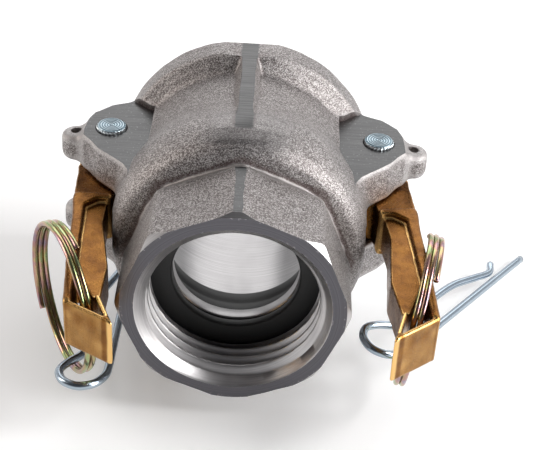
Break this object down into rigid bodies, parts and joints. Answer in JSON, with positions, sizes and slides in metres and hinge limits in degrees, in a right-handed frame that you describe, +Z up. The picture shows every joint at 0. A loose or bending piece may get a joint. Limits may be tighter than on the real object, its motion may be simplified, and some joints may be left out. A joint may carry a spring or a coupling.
{
  "type": "camlock coupling",
  "caption": "Quick-release hose coupler: cast body with a female pipe thread, a socket with a gasket, and two cam levers with pull rings and wire safety clips.",
  "frame": {"origin": "on the ground pad that the coupling lies on, directly below the middle of the body's axis", "axes": "+Y along the coupling's axis, out of the socket that takes the cam adapter; -Y out of the female thread; +Z up, along the coupling's ribs; +X towards the right lever"},
  "size_m": [0.0979, 0.0641, 0.0486],
  "materials": {
    "cast_aluminium": "fine cast grain, turned and milled faces",
    "black_rubber": "smooth moulded rubber",
    "zinc_steel": "zinc plated, knurled head",
    "brass": "cast, tumbled",
    "yellow_zinc_wire": "yellow passivated zinc, slight rainbow",
    "zinc_wire": "bright zinc plated wire"
  },
  "bodies": {
    "body": {"coupler_body": "cast_aluminium", "thread_gasket": "black_rubber", "cam_gasket": "black_rubber", "pivot_pin_left": "zinc_steel", "pivot_pin_right": "zinc_steel"},
    "lever_left": {"cam_lever_left": "brass"},
    "lever_right": {"cam_lever_right": "brass"},
    "ring_left": {"pull_ring_left": "yellow_zinc_wire"},
    "ring_right": {"pull_ring_right": "yellow_zinc_wire"},
    "clip_left": {"safety_clip_left": "zinc_wire"},
    "clip_right": {"safety_clip_right": "zinc_wire"}
  },
  "joints": [
    {"name": "lever_left_pivot", "type": "hinge", "parent": "body", "child": "lever_left", "pos_m": [-0.0255, 0.012, 0.0243], "axis": [0, 0, -1], "range_deg": [0, 100]},
    {"name": "lever_right_pivot", "type": "hinge", "parent": "body", "child": "lever_right", "pos_m": [0.0255, 0.012, 0.0243], "axis": [0, 0, 1], "range_deg": [-8.7, 91.3]},
    {"name": "ring_left_swing", "type": "hinge", "parent": "lever_left", "child": "ring_left", "pos_m": [-0.03007, -0.0203, 0.02064], "axis": [0.882, 0.4711, -0.01], "range_deg": [-20, 2]},
    {"name": "ring_right_swing", "type": "hinge", "parent": "lever_right", "child": "ring_right", "pos_m": [0.03285, -0.01862, 0.02079], "axis": [0.9787, -0.171, -0.114], "range_deg": [-20, 10]},
    {"name": "clip_left_swing", "type": "hinge", "parent": "ring_left", "child": "clip_left", "pos_m": [-0.02613, -0.02789, 0.01032], "axis": [0.3681, -0.6762, 0.6382], "range_deg": [-60, 0]},
    {"name": "clip_right_swing", "type": "hinge", "parent": "ring_right", "child": "clip_right", "pos_m": [0.03279, -0.01142, 0.00949], "axis": [-0.206, -0.8259, -0.5249], "range_deg": [-20, 60]}
  ]
}
